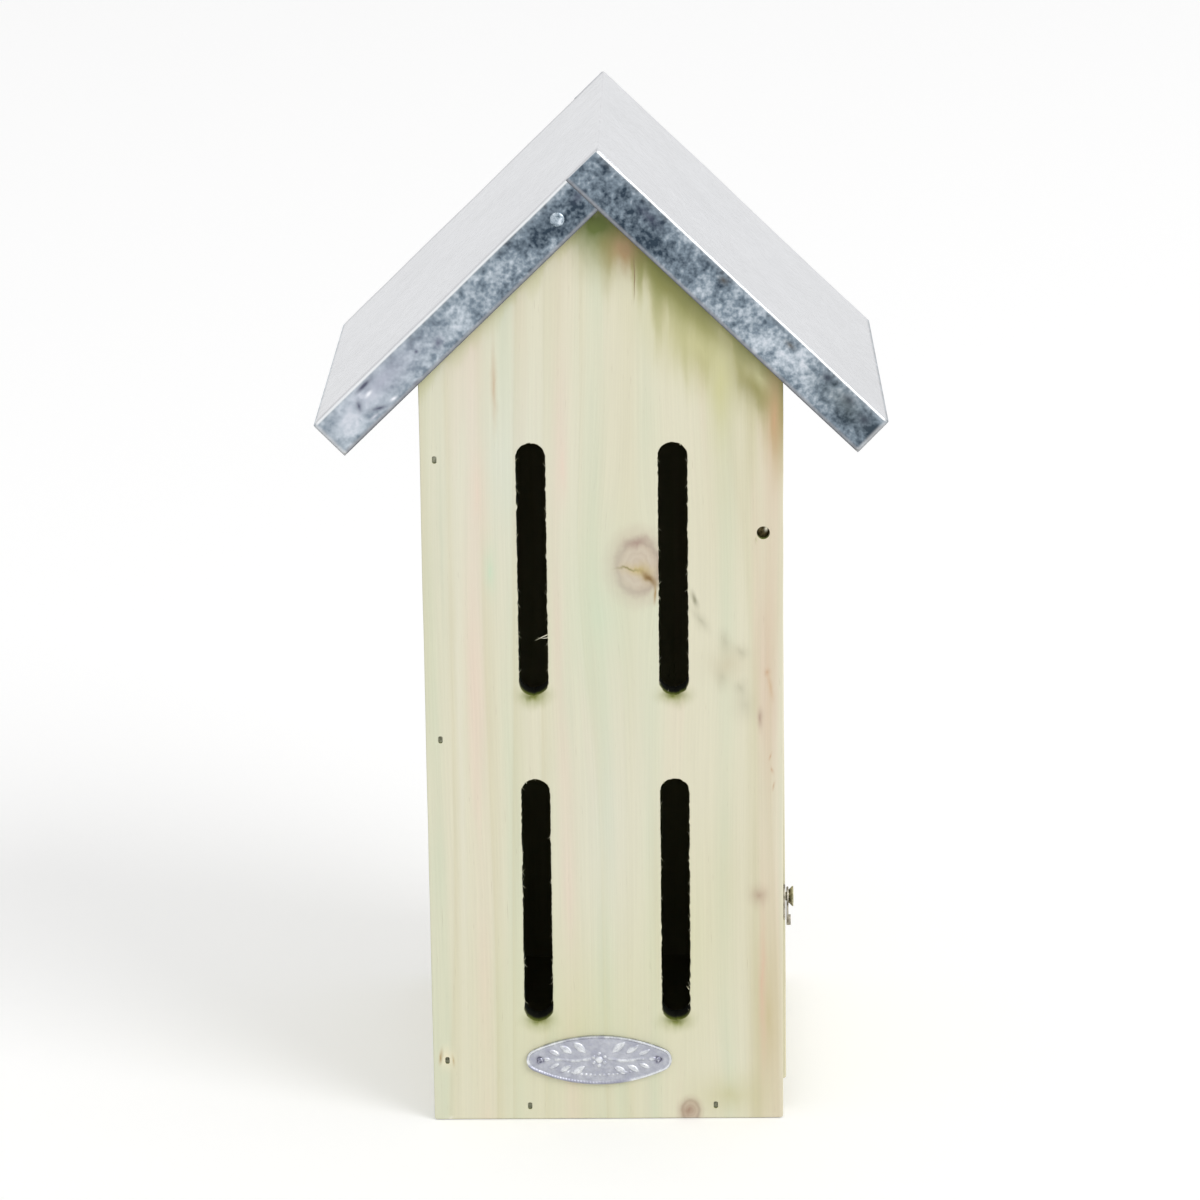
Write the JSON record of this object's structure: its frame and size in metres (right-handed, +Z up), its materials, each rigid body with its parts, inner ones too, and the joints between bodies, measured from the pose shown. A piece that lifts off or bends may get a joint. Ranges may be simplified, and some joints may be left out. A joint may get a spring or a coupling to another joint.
{
  "type": "butterfly house",
  "caption": "Slotted butterfly shelter of pale treated softwood under a folded galvanised roof, with a side panel that swings out and a small turning catch.",
  "frame": {"origin": "middle of the footprint under the roof's outline, on the surface the house stands on", "axes": "+X to the door's side, +Y from the slotted front to the back, +Z up"},
  "size_m": [0.173, 0.1374, 0.31],
  "materials": {
    "treated_pine": "matte",
    "galvanised_sheet": "spangled",
    "zinc_nail": "satin",
    "pewter": "satin",
    "steel_brad": "dull",
    "steel_pin": "dull",
    "dull_zinc": "dull",
    "brass": "weathered"
  },
  "bodies": {
    "house": {"front_panel": "treated_pine", "back_panel": "treated_pine", "left_side": "treated_pine", "floor_board": "treated_pine", "roof_sheet": "galvanised_sheet", "roof_nail_front": "zinc_nail", "roof_nail_back": "zinc_nail", "name_plate": "pewter", "plate_nails": "zinc_nail", "side_brads_front": "steel_brad", "side_brads_back": "steel_brad", "floor_brads_front": "steel_brad", "floor_brads_back": "steel_brad", "door_pin_front": "steel_pin", "door_pin_back": "steel_pin", "catch_plate": "dull_zinc", "catch_screw": "brass"},
    "door": {"side_door": "treated_pine"},
    "catch": {"catch_arm": "dull_zinc"}
  },
  "joints": [
    {"name": "door_swing", "type": "hinge", "parent": "house", "child": "door", "pos_m": [0.0489, 0, 0.1914], "axis": [0, -1, 0], "range_deg": [0, 120]},
    {"name": "catch_turn", "type": "hinge", "parent": "house", "child": "catch", "pos_m": [0.055, -0.0605, 0.0726], "axis": [1, 0, 0], "continuous": true}
  ]
}
